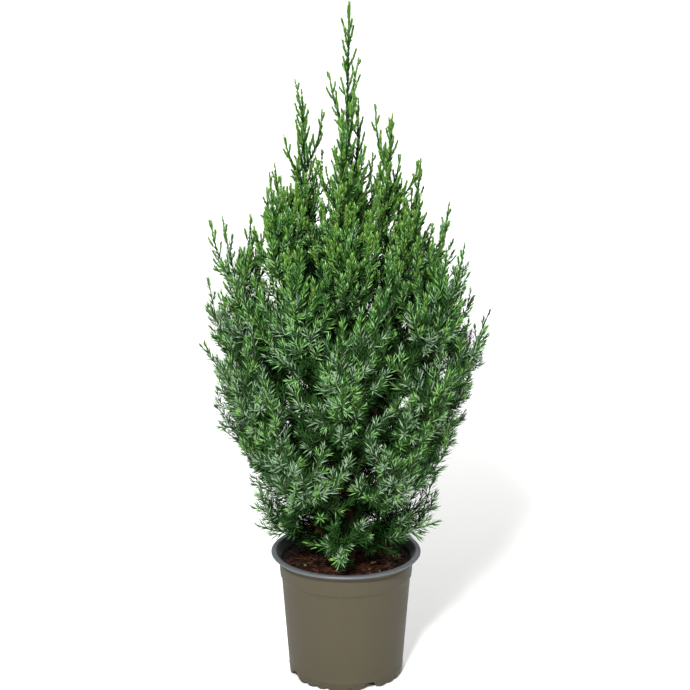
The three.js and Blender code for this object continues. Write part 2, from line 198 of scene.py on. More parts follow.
def foot_edge():
    """How far the skirt's edge is off the ground, all the way round."""
    quarter = 2 * np.pi / ARCHES
    turn = (azimuths - math.radians(ARCH_TURN) + quarter / 2) % quarter - quarter / 2
    along = np.abs(turn) * POT_FOOT
    arch = ARCH_HIGH * np.sin(np.pi / 2 * np.clip((ARCH_WIDE - along) / ARCH_SLOPE, 0, 1))
    span = quarter * POT_FOOT / 2 - ARCH_WIDE
    lobe = np.clip(along - ARCH_WIDE, 0, None) / (2 * span) * SCALLOPS
    # each lobe is round below and meets the next in a sharp notch
    scallop = SCALLOP_HIGH * np.abs(2 * (lobe % 1) - 1) ** SCALLOP_POWER
    return np.where(along < ARCH_WIDE, np.maximum(arch, SCALLOP_HIGH), scallop)


edge = foot_edge()
wall_profile = [
    (POT_FOOT - 5.0, FLOOR_UNDER), (POT_FOOT - 3.0, FLOOR_UNDER - 0.6), (POT_FOOT - 2.2, edge + 0.4),
    (POT_FOOT - 1.6, edge), (POT_FOOT - 0.5, edge + 0.2), (POT_FOOT + 0.2, edge + 1.2),
    *faint_line(outer_radius, SKIRT_LINE, LINE_RELIEF),
    *[(outer_radius(h), h) for h in np.linspace(SKIRT_LINE + 7, POT_STEP_HEIGHT - 1.2, WALL_RINGS)],
    (POT_STEP + 0.3, POT_STEP_HEIGHT - 0.3), (POT_STEP + STEP_DEPTH - 0.5, POT_STEP_HEIGHT + 0.3),
    (collar_radius(POT_STEP_HEIGHT + 1.2), POT_STEP_HEIGHT + 1.2),
    *[(collar_radius(h), h) for h in np.linspace(POT_STEP_HEIGHT + 4, COLLAR_LINE - 2.6, COLLAR_RINGS)],
    *faint_line(collar_radius, COLLAR_LINE, -LINE_RELIEF),
    (POT_NECK, POT_NECK_HEIGHT), (POT_NECK + 1.0, POT_NECK_HEIGHT + 1.4),
    (POT_NECK + 4.0, POT_NECK_HEIGHT + 2.2), (POT_NECK + 4.0, POT_NECK_HEIGHT + 2.8),
    (POT_NECK + 0.2, POT_NECK_HEIGHT + 1.9), (POT_NECK - OUTER_SHEET, POT_NECK_HEIGHT),
    (outer_radius(POT_STEP_HEIGHT) - OUTER_SHEET, POT_STEP_HEIGHT),
    (outer_radius(FLOOR_UNDER + 3) - OUTER_SHEET, FLOOR_UNDER + 3),
    (POT_FOOT - 4.0, FLOOR_UNDER + OUTER_SHEET),
]

taupe = Finish("satin_taupe_plastic", Specular_IOR_Level=0.18)
clouds, grain = taupe.noise(46, 4.0), taupe.noise(0.9, 2.0)
drawn = taupe.noise(9, 3.0, (1.0, 1.0, 0.12))   # streaks from forming, up and down the wall
taupe.wear(
    Base_Color=taupe.blend(clouds * 0.55 + drawn * 0.35, TAUPE, TAUPE_WORN),
    Roughness=0.46 + clouds * 0.12 + drawn * 0.1,
    Normal=taupe.relief(grain * 0.5 + drawn * 0.5, 0.1),
)
wall_faces = tube_faces(len(wall_profile), POT_SIDES)
pot_wall = crisp(make_piece("pot_wall", turned(wall_profile), wall_faces, [taupe]), WALL_CRISP)
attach(pot_wall, "root")
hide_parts("pot")


# Pot lining. The sheet's grey inner layer: it shows inside the wall above the soil, and is rolled
# outwards over the wall's top to make the pot's smooth round lip.
LIP_RADIUS, LIP_TOP = 95.0, 165.0
LIP_INNER = 87.0
LIP_OUT, LIP_OUT_HIGH, LIP_IN, LIP_IN_HIGH = 3.4, 2.3, 3.0, 3.4     # the roll's radii outside and inside
LIP_CRISP = 50       # degrees
LINING_FOOT = FLOOR_UNDER + 4
LINING_FLARE, LINING_FLARE_FROM = 0.02, 140.0     # out for each mm up
LINING_GREY = (0.077, 0.085, 0.091)
LINING_SCUFFED = (0.118, 0.127, 0.133)


def lip_arc(centre, wide, high, start, end, steps):
    angles = np.radians(np.linspace(start, end, steps))
    return [(centre + wide * math.cos(a), LIP_TOP - high + high * math.sin(a)) for a in angles]


def lining_radius(height):
    return outer_radius(height) - SHEET


lining_profile = [
    (POT_FOOT - 5.0, FLOOR_UNDER + OUTER_SHEET + 0.1),
    (outer_radius(FLOOR_UNDER + 3) - OUTER_SHEET - 0.1, FLOOR_UNDER + 3.2),
    (outer_radius(POT_STEP_HEIGHT) - OUTER_SHEET - 0.1, POT_STEP_HEIGHT),
    (POT_NECK - OUTER_SHEET - 0.1, POT_NECK_HEIGHT + 0.1),
    (POT_NECK + 0.2, POT_NECK_HEIGHT + 2.0), (POT_NECK + 4.2, POT_NECK_HEIGHT + 2.9),
    *lip_arc(LIP_RADIUS - LIP_OUT, LIP_OUT, LIP_OUT_HIGH, -75, 80, 12),
    *lip_arc(LIP_INNER + LIP_IN, LIP_IN, LIP_IN_HIGH, 95, 165, 7),
    *[(lining_radius(h) + LINING_FLARE * (h - LINING_FLARE_FROM), h) for h in (156.5, 154.0, 150.0, 140.0)],
    (lining_radius(LINING_FOOT), LINING_FOOT),
    (POT_FOOT - 5.5, FLOOR_UNDER + SHEET),
]
grey = Finish("grey_lining_plastic", Specular_IOR_Level=0.5)
scuffs, grey_grain = grey.noise(7, 4.0), grey.noise(0.8, 2.0)
grey.wear(
    Base_Color=grey.blend(scuffs ** 2.0, LINING_GREY, LINING_SCUFFED),
    Roughness=0.34 + scuffs * 0.2,
    Normal=grey.relief(grey_grain, 0.08),
)
lining_faces = tube_faces(len(lining_profile), POT_SIDES)
pot_lining = crisp(make_piece("pot_lining", turned(lining_profile), lining_faces, [grey]), LIP_CRISP)
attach(pot_lining, "root")
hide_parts("pot")


# Soil. A damp mix of dark peat and composted bark that fills the pot to about 13 mm under the rim,
# lumpy on top and settled against the wall.
SOIL_TOP = 152.0
SOIL_RINGS, SOIL_SIDES = 46, 150
SOIL_FOOT, SOIL_CLEAR, SOIL_PRESSED = 13.6, 0.4, 0.3     # lowest, clear of the wall there, into it on top
SOIL_HOLE = 0.02     # share of the radius that the innermost ring has
SOIL_LUMP, LUMPS = 2.6, ((0.5, 17.0), (0.32, 7.0), (0.3, 3.0))     # height, and share and size of each kind
SOIL_SETTLE, TRUNK_RING = 6.0, 12.0     # over how far lumps fade, and how far round the trunk it is level
PEAT = (0.0018, 0.0010, 0.0007)
PEAT_DRY = (0.0056, 0.0031, 0.0018)
PEAT_RED = (0.0125, 0.0046, 0.0021)
soil_rng = np.random.default_rng(11)


def eased(share):
    return share * share * (3 - 2 * share)


def lattice_noise(rng, x, y, cell, wrap=None):
    """A smooth random field from -1 to 1 over points, with cells of a size. wrap is x's period in cells."""
    u, v = x / cell, y / cell
    i, j = np.floor(u).astype(int), np.floor(v).astype(int)
    fu, fv = eased(u - i), eased(v - j)
    i, j = i - (0 if wrap else i.min()), j - j.min()
    columns = wrap or i.max() + 2
    field = rng.uniform(-1, 1, (columns, j.max() + 2))
    near, far = i % columns, (i + 1) % columns
    low = field[near, j] * (1 - fu) + field[far, j] * fu
    high = field[near, j + 1] * (1 - fu) + field[far, j + 1] * fu
    return low * (1 - fv) + high * fv


def soil_height(x, y):
    """The lumpy top of the soil over points, level at the wall and under the trunk."""
    rng = np.random.default_rng(12)
    lumps = sum(share * lattice_noise(rng, x, y, cell) for share, cell in LUMPS)
    radius = np.hypot(x, y)
    by_wall = np.clip((lining_radius(SOIL_TOP) - radius) / SOIL_SETTLE, 0, 1)
    by_trunk = np.clip((radius - TRUNK_RING) / SOIL_SETTLE, 0, 1)
    return SOIL_TOP + SOIL_LUMP * lumps * (by_wall * by_trunk)


def on_soil(x, y, lift=0.0):
    return np.stack([x, y, soil_height(x, y) + lift], -1)


soil_edge = lining_radius(SOIL_TOP) + SOIL_PRESSED
soil_shares = np.linspace(1, SOIL_HOLE, SOIL_RINGS)
soil_turns = np.arange(SOIL_SIDES) * 2 * np.pi / SOIL_SIDES
soil_x = soil_edge * soil_shares[:, None] * np.cos(soil_turns)
soil_y = soil_edge * soil_shares[:, None] * np.sin(soil_turns)
soil_points = np.concatenate([
    swung(lining_radius(LINING_FOOT) - SOIL_CLEAR, SOIL_FOOT, soil_turns),
    on_soil(soil_x, soil_y).reshape(-1, 3),
])
peat = Finish("peat_and_bark_soil", Specular_IOR_Level=0.1)
crumbs, patches, specks = peat.noise(2.2, 5.0), peat.noise(24, 3.0), peat.noise(4.5, 2.0)
damp = peat.blend(crumbs * 0.9, PEAT, PEAT_DRY)
peat.wear(
    Base_Color=peat.blend((specks * patches) ** 1.5 * 2.2, damp, PEAT_RED),
    Roughness=0.72 + crumbs * 0.25,
    Normal=peat.relief(crumbs, 1.1),
)
soil = make_piece("soil_bed", soil_points, tube_faces(SOIL_RINGS + 1, SOIL_SIDES), [peat])
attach(soil, "root")
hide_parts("soil")


# Bark chips. Flakes and splinters of composted pine bark that lie loose on the soil, red-brown and
# dark brown, with a few pale ones of bare wood.
CHIPS = 560
CHIP_LONG, CHIP_WIDE, CHIP_THICK = (3.5, 14.0), (1.6, 5.5), (0.6, 1.8)
CHIP_STUBBIEST = 0.2     # share of its length over the shortest that a chip keeps
CHIP_ENDS = np.array([-0.5, -0.32, 0.34, 0.5, 0.3, -0.36])
CHIP_SIDES = np.array([-0.1, -0.5, -0.46, 0.08, 0.5, 0.44])
CHIP_RAGGED, CHIP_BEVEL = (0.09, 0.13, 0.2), 0.15
CHIP_TIP, CHIP_ROLL = 0.16, 0.3          # spread of the slopes, in radians
CHIP_LIFT, CHIP_LOOSE = 0.35, 0.8        # share of its thickness over the soil, and millimetres more
CHIP_MARGIN, STREWN_FROM = 7.0, 13.0     # from the wall and from the axis
CHIP_SHADE, CHIP_LIGHT = 0.45, 1.4       # of a tone's colour, between its fibres and on them
CHIP_TONES = {
    "bark_chip_dark": (0.0065, 0.0034, 0.0022),
    "bark_chip_brown": (0.019, 0.0082, 0.0042),
    "bark_chip_red": (0.052, 0.0175, 0.0072),
    "bark_chip_pale": (0.20, 0.130, 0.088),
}
CHIP_SHARES = (0.36, 0.36, 0.25, 0.03)


def unit(vectors):
    return vectors / np.linalg.norm(vectors, axis=-1, keepdims=True)


def strewn(rng, count, margin):
    """Places strewn over the soil, clear of the wall by a margin and of the trunk's foot."""
    nearest, furthest = STREWN_FROM / soil_edge, (soil_edge - margin) / soil_edge
    radius = np.sqrt(rng.uniform(nearest ** 2, furthest ** 2, count)) * soil_edge
    turn = rng.uniform(0, 2 * np.pi, count)
    return radius * np.cos(turn), radius * np.sin(turn)


def chip_points(rng, count):
    """Six-sided flakes: two uneven rings of six corners, tipped a little and half sunk in the soil."""
    x, y = strewn(rng, count, CHIP_MARGIN)
    long, wide, thick = (rng.uniform(*size, count) for size in (CHIP_LONG, CHIP_WIDE, CHIP_THICK))
    long = CHIP_LONG[0] + (long - CHIP_LONG[0]) * rng.uniform(CHIP_STUBBIEST, 1, count)
    turn = rng.uniform(0, 2 * np.pi, count)
    tip, roll = rng.normal(0, CHIP_TIP, count), rng.normal(0, CHIP_ROLL, count)
    along = np.stack([np.cos(turn) * np.cos(tip), np.sin(turn) * np.cos(tip), np.sin(tip)], -1)
    side = unit(np.stack([-np.sin(turn), np.cos(turn), np.tan(roll)], -1))
    over = np.cross(along, side)
    rows = []
    for level in (-0.5, 0.5):
        u, v, w = (
            (shape + rng.uniform(-ragged, ragged, (count, len(CHIP_ENDS)))) * size[:, None]
            for shape, ragged, size in zip((CHIP_ENDS, CHIP_SIDES, level), CHIP_RAGGED, (long, wide, thick))
        )
        v = v * (1 - CHIP_BEVEL * level)
        rows.append(sum(part[..., None] * way[:, None] for part, way in ((u, along), (v, side), (w, over))))
    lift = CHIP_LIFT * thick + rng.uniform(0, CHIP_LOOSE, count)
    return np.concatenate(rows, 1) + on_soil(x, y, lift)[:, None]


def joined(shapes, faces):
    """Many shapes with the same triangles, as one list of points and one of triangles."""
    count, corners = shapes.shape[:2]
    offsets = np.arange(count)[:, None, None] * corners
    return shapes.reshape(-1, 3), (faces[None] + offsets).reshape(-1, 3)


chip_finishes = []
for tone, colour in CHIP_TONES.items():
    chip_finish = Finish(tone, Specular_IOR_Level=0.12)
    fibre_lines = chip_finish.noise(1.4, 4.0)
    shade, light = (tuple(share * part for part in colour) for share in (CHIP_SHADE, CHIP_LIGHT))
    chip_finish.wear(
        Base_Color=chip_finish.blend(fibre_lines, shade, light),
        Roughness=0.62 + fibre_lines * 0.3,
        Normal=chip_finish.relief(fibre_lines, 0.4),
    )
    chip_finishes.append(chip_finish)
chip_faces = tube_faces(2, len(CHIP_ENDS))
chip_place, chip_triangles = joined(chip_points(soil_rng, CHIPS), chip_faces)
chip_tone = soil_rng.choice(len(CHIP_SHARES), CHIPS, p=CHIP_SHARES)
chip_worn = np.repeat(chip_tone, len(chip_faces))
chips = make_piece("bark_chips", chip_place, chip_triangles, chip_finishes, chip_worn, smooth=False)
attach(chips, "root")


# Fibres. Coir threads, bark splinters and needles that the plant has shed, red-brown and straw
# brown, lying on the soil in all directions.
FIBRES, FIBRE_RINGS, FIBRE_SIDES = 520, 5, 3
FIBRE_LONG, FIBRE_RADIUS, FIBRE_TAPER = (5.0, 26.0), (0.22, 0.5), (0.5, 1.0, 1.0, 0.9, 0.35)
FIBRE_CURL = 0.35                                       # radians
FIBRE_MARGIN, FIBRE_CLEAR = 12.0, 2.0                   # from the wall: its middle, its ends
FIBRE_END_LIFT, FIBRE_LIFT = (0.2, 1.8), (0.8, 2.6)     # over the soil
FIBRE_TONES = {
    "coir_red_brown": (0.066, 0.0215, 0.0085),
    "coir_dark": (0.019, 0.0076, 0.0038),
    "shed_needle_straw": (0.125, 0.056, 0.024),
}
FIBRE_SHARES = (0.48, 0.37, 0.15)


def curve_lines(root, bend, tip, points):
    """Lines of points along curves that leave each root towards its bend and end at its tip."""
    t = np.linspace(0, 1, points)[None, :, None]
    return (1 - t) ** 2 * root[:, None] + 2 * t * (1 - t) * bend[:, None] + t ** 2 * tip[:, None]


def tubes(lines, radii, sides):
    """Closed tubes along lines, as shapes of (lines, rings x sides) points. radii is (lines, rings)."""
    ways = unit(np.gradient(lines, axis=1))
    start = ways[:, :1]
    least = np.argmin(np.abs(start), axis=-1)
    reference = np.eye(3)[least]
    across = unit(reference - ways * np.sum(reference * ways, -1, keepdims=True))
    along = np.cross(ways, across)
    angles = 2 * np.pi * np.arange(sides) / sides
    out = across[:, :, None] * np.cos(angles)[:, None] + along[:, :, None] * np.sin(angles)[:, None]
    return (lines[:, :, None] + out * radii[:, :, None, None]).reshape(len(lines), -1, 3)


def fibre_lines_on_soil(rng, count):
    x, y = strewn(rng, count, FIBRE_MARGIN)
    half = rng.uniform(*FIBRE_LONG, count) / 2
    turn = rng.uniform(0, 2 * np.pi, count)
    curl = rng.normal(0, FIBRE_CURL, count)
    ends = []
    for sign, twist in ((-1, curl), (1, -curl)):
        ex, ey = x + sign * half * np.cos(turn + twist), y + sign * half * np.sin(turn + twist)
        reach = np.minimum(1, (soil_edge - FIBRE_CLEAR) / np.hypot(ex, ey))
        ex, ey = ex * reach, ey * reach
        ends.append(on_soil(ex, ey, rng.uniform(*FIBRE_END_LIFT, count)))
    middle = on_soil(x, y, rng.uniform(*FIBRE_LIFT, count))
    return curve_lines(ends[0], middle, ends[1], FIBRE_RINGS)


fibre_paths = fibre_lines_on_soil(soil_rng, FIBRES)
fibre_radii = soil_rng.uniform(*FIBRE_RADIUS, (FIBRES, 1)) * np.array(FIBRE_TAPER)
fibre_faces = tube_faces(FIBRE_RINGS, FIBRE_SIDES)
fibre_place, fibre_triangles = joined(tubes(fibre_paths, fibre_radii, FIBRE_SIDES), fibre_faces)
fibre_finishes = [
    Finish(tone, Base_Color=colour, Roughness=0.7, Specular_IOR_Level=0.15)
    for tone, colour in FIBRE_TONES.items()
]
fibre_tone = np.repeat(soil_rng.choice(len(FIBRE_SHARES), FIBRES, p=FIBRE_SHARES), len(fibre_faces))
fibres = make_piece("soil_fibres", fibre_place, fibre_triangles, fibre_finishes, fibre_tone)
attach(fibres, "root")


# Trunk. One short upright stem of wood under thin red-brown bark that peels in long strips. It
# flares where it enters the soil and runs whole up through the crown.
TRUNK_FOOT, TRUNK_TIP = 152.3, 640.0
TRUNK_FOOT_RADIUS, TRUNK_TIP_RADIUS = 8.5, 2.2
TRUNK_FLARE, TRUNK_FLARE_HEIGHT, TRUNK_SWAY = 4.5, 16.0, 9.0
TRUNK_RINGS, TRUNK_SIDES, TRUNK_SUNK = 190, 26, 3.0
STRIP_WIDE, STRIP_LONG, STRIPS_LEAST = 2.6, 24.0, 4
STRIP_STEEP, STRIP_DEEP, FLAKE_SHARE, FLAKE_FINER = 1.6, 0.7, 0.4, 4
TRUNK_RELIEF = 0.16      # as a share of the radius
BARK_DARK = (0.014, 0.0072, 0.0045)
BARK_BROWN = (0.055, 0.025, 0.0135)
BARK_WORN = (0.120, 0.066, 0.040)


def bezier(handles, shares):
    """Points at shares of a cubic curve with four handles, or of several curves with rows of handles."""
    t = np.asarray(shares)[:, None]
    weights = ((1 - t) ** 3, 3 * t * (1 - t) ** 2, 3 * t ** 2 * (1 - t), t ** 3)
    return sum(weight * np.asarray(handle, float)[..., None, :] for weight, handle in zip(weights, handles))


def between(low, high, share):
    return low + (high - low) * share


TRUNK_HANDLES = (
    (0, 0, TRUNK_FOOT),
    (TRUNK_SWAY, -TRUNK_SWAY / 2, between(TRUNK_FOOT, TRUNK_TIP, 1 / 3)),
    (-TRUNK_SWAY, TRUNK_SWAY / 2, between(TRUNK_FOOT, TRUNK_TIP, 2 / 3)),
    (0, 0, TRUNK_TIP),
)


def trunk_at(height):
    """The trunk's centreline at a height."""
    return bezier(TRUNK_HANDLES, [(height - TRUNK_FOOT) / (TRUNK_TIP - TRUNK_FOOT)])[0]


def bark_relief(rng, shape, radii, length):
    """Peeling strips over rings of corners, as a share of the radius: long ridges with ragged edges."""
    lines, rings, sides = shape
    around = np.arange(sides) / sides
    relief = np.zeros(shape)
    for i in range(lines):
        cells = max(STRIPS_LEAST, int(2 * np.pi * radii[i].mean() / STRIP_WIDE))
        up = np.linspace(0, length[i], rings)[:, None] + 0 * around
        x = around * cells + 0 * up
        strips = lattice_noise(rng, x, up / STRIP_LONG, 1.0, cells)
        flakes = lattice_noise(rng, 2 * x, up / (STRIP_LONG / FLAKE_FINER), 1.0, 2 * cells)
        relief[i] = np.clip(strips * STRIP_STEEP, -STRIP_DEEP, 1) + FLAKE_SHARE * flakes
    return relief


def line_length(lines):
    return np.linalg.norm(np.diff(lines, axis=1), axis=-1).sum(1)


def barked(rng, lines, radii, sides, strength):
    """Tubes along lines, with the bark's relief."""
    count, rings = radii.shape
    plain = tubes(lines, radii, sides).reshape(count, rings, sides, 3)
    relief = bark_relief(rng, (count, rings, sides), radii, line_length(lines))
    middle = lines[:, :, None]
    return (middle + (plain - middle) * (1 + strength * relief[..., None])).reshape(count, -1, 3)


bark_rng = np.random.default_rng(21)
bark = Finish("peeling_bark", Specular_IOR_Level=0.25)
strips = bark.noise(2.4, 4.0, (1.0, 1.0, 0.14))
flakes = bark.noise(5.0, 5.0, (1.0, 1.0, 0.4))
bark_body = bark.blend(strips, BARK_DARK, BARK_BROWN)
bark.wear(
    Base_Color=bark.blend(flakes ** 3.0 * 1.5, bark_body, BARK_WORN),
    Roughness=0.7 + flakes * 0.25,
    Normal=bark.relief(strips * 0.7 + flakes * 0.3, 0.7),
)
trunk_shares = np.linspace(0, 1, TRUNK_RINGS)
trunk_rise = trunk_shares * (TRUNK_TIP - TRUNK_FOOT)
trunk_line = bezier(TRUNK_HANDLES, trunk_shares)
trunk_line[0, 2] -= TRUNK_SUNK
trunk_radii = between(TRUNK_FOOT_RADIUS, TRUNK_TIP_RADIUS, trunk_shares)
trunk_radii = trunk_radii + TRUNK_FLARE * np.exp(-trunk_rise / TRUNK_FLARE_HEIGHT)
trunk_shape = barked(bark_rng, trunk_line[None], trunk_radii[None], TRUNK_SIDES, TRUNK_RELIEF)
trunk = make_piece("trunk_bark", trunk_shape[0], tube_faces(TRUNK_RINGS, TRUNK_SIDES), [bark])
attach(trunk, "root")
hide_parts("trunk")


# Boughs. Limbs in rising tiers that leave the trunk's side at a slope and turn up towards their
# tips. Each is one tapering piece of wood under the same bark, and carries on as its mass's stem.
SEED = 97
TIER_ROWS = (
    # name, count, turn, root, step, tip, reach, leave, end, bare, spray
    ("skirt", 5, 126, 174, 5, 210, 116, 70, 62, 0.0, 46),
    ("low", 5, 162, 203, 7, 308, 144, 62, 40, 0.14, 62),
    ("middle", 7, 13, 242, 6, 446, 170, 58, 22, 0.15, 70),
    ("upper", 5, 180, 292, 9, 572, 158, 50, 9, 0.16, 72),
    ("high", 6, 30, 350, 11, 645, 97, 36, 5, 0.16, 58),
    ("top", 4, 168, 450, 14, 742, 57, 28, 3, 0.0, 46),
)
LEADER_TIP, LEADER_LEAN, LEADER_SPRAY, LEADER_SUNK = 848.0, 4.0, 32.0, 6.0
TIP_JITTER, REACH_JITTER, TURN_JITTER = 22.0, 0.07, 10.0
HANDLE_SHARE = 0.38
LIMB_SHARE, LIMB_LEAST, LIMB_TIP = 0.0105, 1.9, 0.75
LIMB_RINGS, LIMB_SIDES, LIMB_TAPER, LIMB_RELIEF = 44, 8, 0.5, 0.1
YOUNG_FROM = 0.42        # share of a limb from which its wood is still green
YOUNG_GREEN = (0.032, 0.070, 0.016)
STEM_POINTS = 61
TIP_BUD = 5.0            # how far the last needles carry a stem past its tip
WORD = 0xFFFFFFFF        # the most that 32 bits hold
UP = np.array([0.0, 0.0, 1.0])


def random_stream(seed):
    """The same repeatable random numbers from 0 to 1 that the solids are planned with."""
    state = seed

    def draw():
        nonlocal state
        state = (state + 0x6D2B79F5) & WORD
        mixed = ((state ^ (state >> 15)) * (state | 1)) & WORD
        mixed ^= (mixed + (mixed ^ (mixed >> 7)) * (mixed | 61)) & WORD
        return ((mixed ^ (mixed >> 14)) & WORD) / (WORD + 1)

    return draw


def leaning(out, degrees):
    """The direction that leans out of the upright by so many degrees."""
    return out * math.sin(math.radians(degrees)) + UP * math.cos(math.radians(degrees))


def plan_stems():
    """Each bough's name, its curve as points, its tier's spray length and the share that is bare."""
    draw = random_stream(SEED)

    def spread():
        return 2 * draw() - 1

    stems = []
    for name, count, turn, root, step, tip, reach, leave, end, bare, spray in TIER_ROWS:
        for i in range(count):
            azimuth = math.radians(turn + 360 * i / count + TURN_JITTER * spread())
            out = np.array([math.cos(azimuth), math.sin(azimuth), 0.0])
            foot = trunk_at(root + step * ((2 * i) % count))
            far = out * reach * (1 + REACH_JITTER * spread())
            far[2] = tip + TIP_JITTER * spread()
            handle = HANDLE_SHARE * np.linalg.norm(far - foot)
            handles = (foot, foot + leaning(out, leave) * handle, far - leaning(out, end) * handle, far)
            line = bezier(handles, np.linspace(0, 1, STEM_POINTS))
            line[-1] += leaning(out, end) * TIP_BUD
            stems.append((f"{name}_{i + 1}", line, spray, bare))
    top = np.array([LEADER_LEAN, 0.0, LEADER_TIP + 2 * TIP_BUD])
    line = between(trunk_at(TRUNK_TIP - LEADER_SUNK), top, np.linspace(0, 1, STEM_POINTS)[:, None])
    return stems + [("leader", line, LEADER_SPRAY, 0.0)]


def thinned(lines, points):
    """The same lines with fewer points."""
    return lines[:, np.linspace(0, STEM_POINTS - 1, points).round().astype(int)]


stems = plan_stems()
stem_names = [name for name, *_ in stems]
stem_lines = np.stack([line for _, line, *_ in stems])
stem_length = line_length(stem_lines)
stem_spray = np.array([spray for *_, spray, _ in stems])
stem_bare = np.array([bare for *_, bare in stems])
limb_root = np.maximum(LIMB_LEAST, LIMB_SHARE * stem_length)
limb_radii = between(limb_root[:, None], LIMB_TIP, np.linspace(0, 1, LIMB_RINGS)[None] ** LIMB_TAPER)
limb_shapes = barked(bark_rng, thinned(stem_lines, LIMB_RINGS), limb_radii, LIMB_SIDES, LIMB_RELIEF)
limb_faces = tube_faces(LIMB_RINGS, LIMB_SIDES)
limb_place, limb_triangles = joined(limb_shapes, limb_faces)
young_wood = Finish("young_green_wood", Base_Color=YOUNG_GREEN, Roughness=0.7, Specular_IOR_Level=0.2)
limb_young = limb_faces.max(1) >= YOUNG_FROM * LIMB_RINGS * LIMB_SIDES
limb_young[-2 * (LIMB_SIDES - 2):-(LIMB_SIDES - 2)] = False      # the fan over the root end
limb_worn = np.tile(limb_young, len(stems))
boughs = make_piece("boughs_bark", limb_place, limb_triangles, [bark, young_wood], limb_worn)
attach(boughs, "root")
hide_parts(*[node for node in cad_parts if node.startswith("bough_")])


# Side boughs. Lesser limbs of green wood that part from a bough or from the trunk wherever the crown
# has room, turn up and end as plumes of their own: the spires that stand out of the crown, and others
# spread evenly from its inside to its outline.
PLUME_SHELLS = (
    # count, lowest and highest tip, and shares of the crown's reach
    (330, 196.0, 675.0, 0.83, 0.97),
    (18, 176.0, 196.0, 0.55, 0.85),
    (380, 196.0, 675.0, 0.40, 0.79),
    (40, 215.0, 345.0, 0.10, 0.42),
)
NEAR_SPIRES = ((-20, 772), (-29, 729), (15, 792), (36, 734))     # how far right of the axis, and height
SPIRES = (
    (-61, 766), (-76, 700), (-80, 651), (-96, 634), (-117, 603), (-164, 590), (-170, 514), (-169, 487),
    (-174, 438), (53, 717), (66, 674), (88, 666), (125, 591), (144, 537), (154, 512), (170, 460),
)
SPIRE_TURN = 97.0        # the outer ones stand a second time, so far round
OUTER_SHELLS = 2         # of the shells, those that the light reaches; the open foliage of the others gets painted shade
shell_counts = [count for count, *_ in PLUME_SHELLS]
OUTER_PLUMES = len(NEAR_SPIRES) + 2 * len(SPIRES) + sum(shell_counts[:OUTER_SHELLS])
PLUMES = OUTER_PLUMES + sum(shell_counts[OUTER_SHELLS:])
# from each plume of a shell to the next: degrees round, and share of the shell's depth
PLUME_TURN, PLUME_DEPTH_STEP = 137.508, 0.7549
PLUME_SHIFT, PLUME_TURN_JITTER, SPIRE_TURN_JITTER = 9.0, 6.0, 12.0
GIRTH_POWER, GIRTH_STEPS = 1.25, 300
CROWN_MIDDLE = (-4.0, 0.0, 0.0)      # the crown is a little fuller to the left
BEND_COST, END_COST, END_HANDLE = 0.5, 1.6, 0.55
CARRY_LAST = 46          # of a stem's points, the last that carries a side bough
LEAFY_FROM, LEAFY_STEP = 20, 4       # of a stem's points, those that a plume's nearness is measured to
SIDE_RADIUS, SIDE_TAPER, SIDE_RINGS, SIDE_SIDES = 1.15, 0.4, 8, 4
LEAN_JITTER, WAY_JITTER = 8.0, 26.0
# rows of height and, there: degrees that plumes lean out, least share of their way that is up, least length
LEANS = ((180, 80), (230, 60), (300, 40), (380, 23), (470, 13), (600, 8), (850, 4))
LEAST_RISES = ((210, 0.0), (340, 0.55), (560, 0.8))
LEAST_LENGTHS = ((340, 55), (560, 80))
# and how far the crown's body reaches from its axis
BODY_REACHES = (
    (209, 104), (285, 130), (362, 162), (438, 173), (514, 156), (590, 122), (666, 70), (743, 34), (848, 12),
)
twig_rng = np.random.default_rng(32)


def by_height(rows, height):
    """What rows of heights and values give at other heights."""
    return np.interp(height, *np.transpose(rows))


def crown_reach(height):
    """How far the crown's body reaches at heights, inside the spires that stand out of it."""
    return by_height(BODY_REACHES, height)


def plume_tips(rng):
    """Where the plumes end and which way round they face: the spires, then each shell of the crown."""
    reach, height = np.array(NEAR_SPIRES + SPIRES + SPIRES, float).T
    turn = 180 * (reach < 0) + rng.uniform(-SPIRE_TURN_JITTER, SPIRE_TURN_JITTER, len(reach))
    turn[-len(SPIRES):] += SPIRE_TURN
    turns = [np.radians(turn)]
    tips = [swung(np.abs(reach), height, turns[0])]
    for count, lowest, highest, nearest, furthest in PLUME_SHELLS:
        order = np.arange(count)
        heights = np.linspace(lowest, highest, GIRTH_STEPS)
        girth = np.cumsum(crown_reach(heights) ** GIRTH_POWER)
        height = np.interp((order + 0.5) / count, girth / girth[-1], heights)
        height = height + rng.uniform(-PLUME_SHIFT, PLUME_SHIFT, count)
        depth = between(nearest ** 2, furthest ** 2, PLUME_DEPTH_STEP * order % 1) ** 0.5
        turn = PLUME_TURN * order + rng.uniform(-PLUME_TURN_JITTER, PLUME_TURN_JITTER, count)
        turns.append(np.radians(turn))
        tips.append(swung(depth * crown_reach(height), height, turns[-1]) + CROWN_MIDDLE)
    return np.concatenate(tips), np.concatenate(turns)


def best_carriers(tips, ends, limb_points, limb_ways):
    """The limb point that each plume grows from: near, lower and in line with limb and plume."""
    apart = tips[:, None] - limb_points[None]
    distance = np.linalg.norm(apart, axis=-1)
    ways = apart / distance[..., None]
    limb_bend = 1 - np.sum(ways * limb_ways[None], -1)
    plume_bend = 1 - np.sum(ways * ends[:, None], -1)
    cost = distance * (1 + BEND_COST * limb_bend + END_COST * plume_bend)
    short = distance < by_height(LEAST_LENGTHS, tips[:, 2])[:, None]
    flat = ways[..., 2] < by_height(LEAST_RISES, tips[:, 2])[:, None]
    return np.where(short | flat, np.inf, cost).argmin(1)


